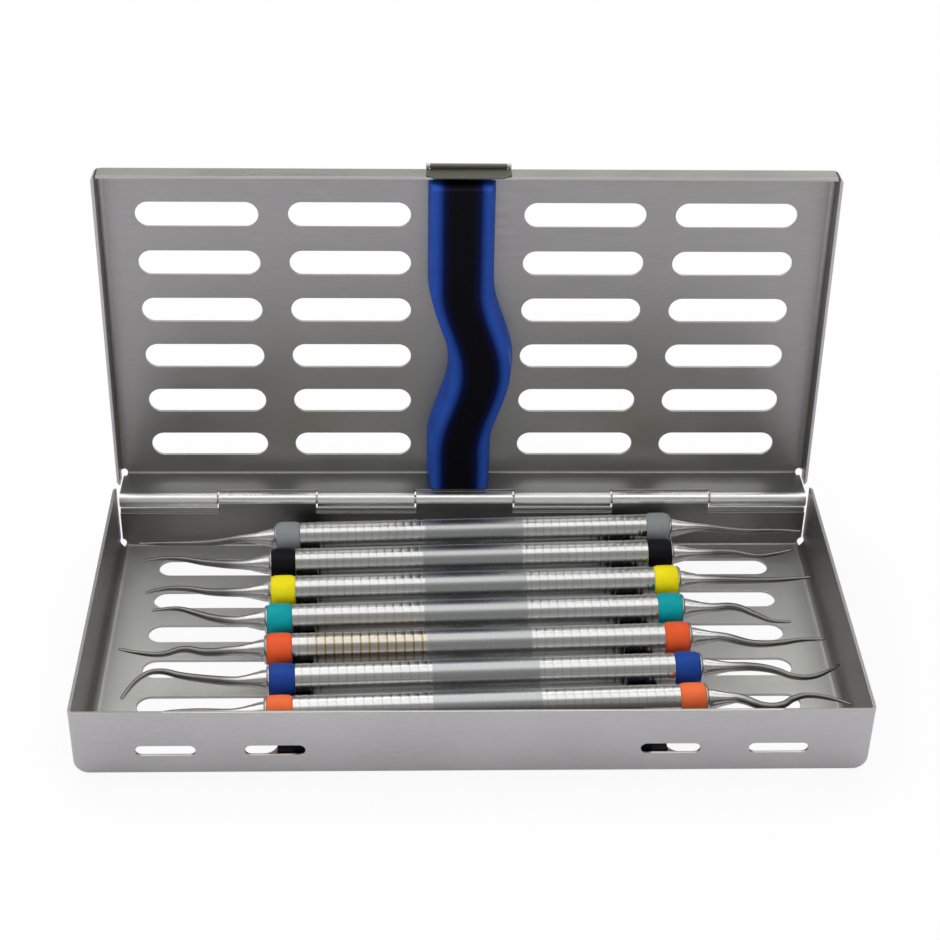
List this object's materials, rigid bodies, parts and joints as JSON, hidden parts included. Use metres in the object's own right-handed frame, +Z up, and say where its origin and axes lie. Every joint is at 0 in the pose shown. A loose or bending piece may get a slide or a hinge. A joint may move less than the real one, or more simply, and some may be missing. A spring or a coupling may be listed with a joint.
{
  "type": "dental instrument cassette",
  "caption": "Open stainless sterilization cassette with a slotted tray, a hinged slotted lid with a wavy blue hold-down strip, and silicone racks carrying double-ended hand instruments.",
  "frame": {"origin": "centre of the base tray's flat underside", "axes": "+Z up, +X to the right along the hinge, +Y to the back, from the front wall towards the hinge"},
  "size_m": [0.18, 0.1036, 0.1023],
  "materials": {
    "case_steel": "brushed sheet",
    "pin_steel": "drawn wire",
    "latch_steel": "satin olive grey",
    "instrument_steel": "polished",
    "end_steel": "satin polished",
    "blue_silicone": "smooth silicone",
    "black_silicone": "smooth silicone",
    "ring_grey": "smooth silicone",
    "ring_navy": "smooth silicone",
    "ring_yellow": "smooth silicone",
    "ring_teal": "smooth silicone",
    "ring_red": "smooth silicone",
    "ring_blue": "smooth silicone",
    "ring_orange": "smooth silicone"
  },
  "bodies": {
    "base": {"base_tray": "case_steel", "hinge_pin": "pin_steel", "rack_left": "black_silicone", "rack_right": "black_silicone"},
    "lid": {"lid_pan": "case_steel", "wave_strip": "blue_silicone", "latch_pin": "pin_steel"},
    "latch": {"latch_flap": "latch_steel"},
    "instrument_1": {"instrument_1_handle": "instrument_steel", "instrument_1_ring_left": "ring_grey", "instrument_1_end_left": "end_steel", "instrument_1_ring_right": "ring_grey", "instrument_1_end_right": "end_steel"},
    "instrument_2": {"instrument_2_handle": "instrument_steel", "instrument_2_ring_left": "ring_navy", "instrument_2_end_left": "end_steel", "instrument_2_ring_right": "ring_navy", "instrument_2_end_right": "end_steel"},
    "instrument_3": {"instrument_3_handle": "instrument_steel", "instrument_3_ring_left": "ring_yellow", "instrument_3_end_left": "end_steel", "instrument_3_ring_right": "ring_yellow", "instrument_3_end_right": "end_steel"},
    "instrument_4": {"instrument_4_handle": "instrument_steel", "instrument_4_ring_left": "ring_teal", "instrument_4_end_left": "end_steel", "instrument_4_ring_right": "ring_teal", "instrument_4_end_right": "end_steel"},
    "instrument_5": {"instrument_5_handle": "instrument_steel", "instrument_5_ring_left": "ring_red", "instrument_5_end_left": "end_steel", "instrument_5_ring_right": "ring_red", "instrument_5_end_right": "end_steel"},
    "instrument_6": {"instrument_6_handle": "instrument_steel", "instrument_6_ring_left": "ring_blue", "instrument_6_end_left": "end_steel", "instrument_6_ring_right": "ring_blue", "instrument_6_end_right": "end_steel"},
    "instrument_7": {"instrument_7_handle": "instrument_steel", "instrument_7_ring_left": "ring_orange", "instrument_7_end_left": "end_steel", "instrument_7_ring_right": "ring_orange", "instrument_7_end_right": "end_steel"}
  },
  "joints": [
    {"name": "lid_hinge", "type": "hinge", "parent": "base", "child": "lid", "pos_m": [0, 0.04435, 0.01385], "axis": [-1, 0, 0], "range_deg": [-93.4, 86.6]},
    {"name": "latch_hinge", "type": "hinge", "parent": "lid", "child": "latch", "pos_m": [0, 0.05893, 0.10154], "axis": [-1, 0, 0], "range_deg": [0, 95]},
    {"name": "instrument_1_lift", "type": "slide", "parent": "base", "child": "instrument_1", "axis": [0, 0, 1], "range_m": [0, 0.04]},
    {"name": "instrument_2_lift", "type": "slide", "parent": "base", "child": "instrument_2", "axis": [0, 0, 1], "range_m": [0, 0.04]},
    {"name": "instrument_3_lift", "type": "slide", "parent": "base", "child": "instrument_3", "axis": [0, 0, 1], "range_m": [0, 0.04]},
    {"name": "instrument_4_lift", "type": "slide", "parent": "base", "child": "instrument_4", "axis": [0, 0, 1], "range_m": [0, 0.04]},
    {"name": "instrument_5_lift", "type": "slide", "parent": "base", "child": "instrument_5", "axis": [0, 0, 1], "range_m": [0, 0.04]},
    {"name": "instrument_6_lift", "type": "slide", "parent": "base", "child": "instrument_6", "axis": [0, 0, 1], "range_m": [0, 0.04]},
    {"name": "instrument_7_lift", "type": "slide", "parent": "base", "child": "instrument_7", "axis": [0, 0, 1], "range_m": [0, 0.04]}
  ]
}
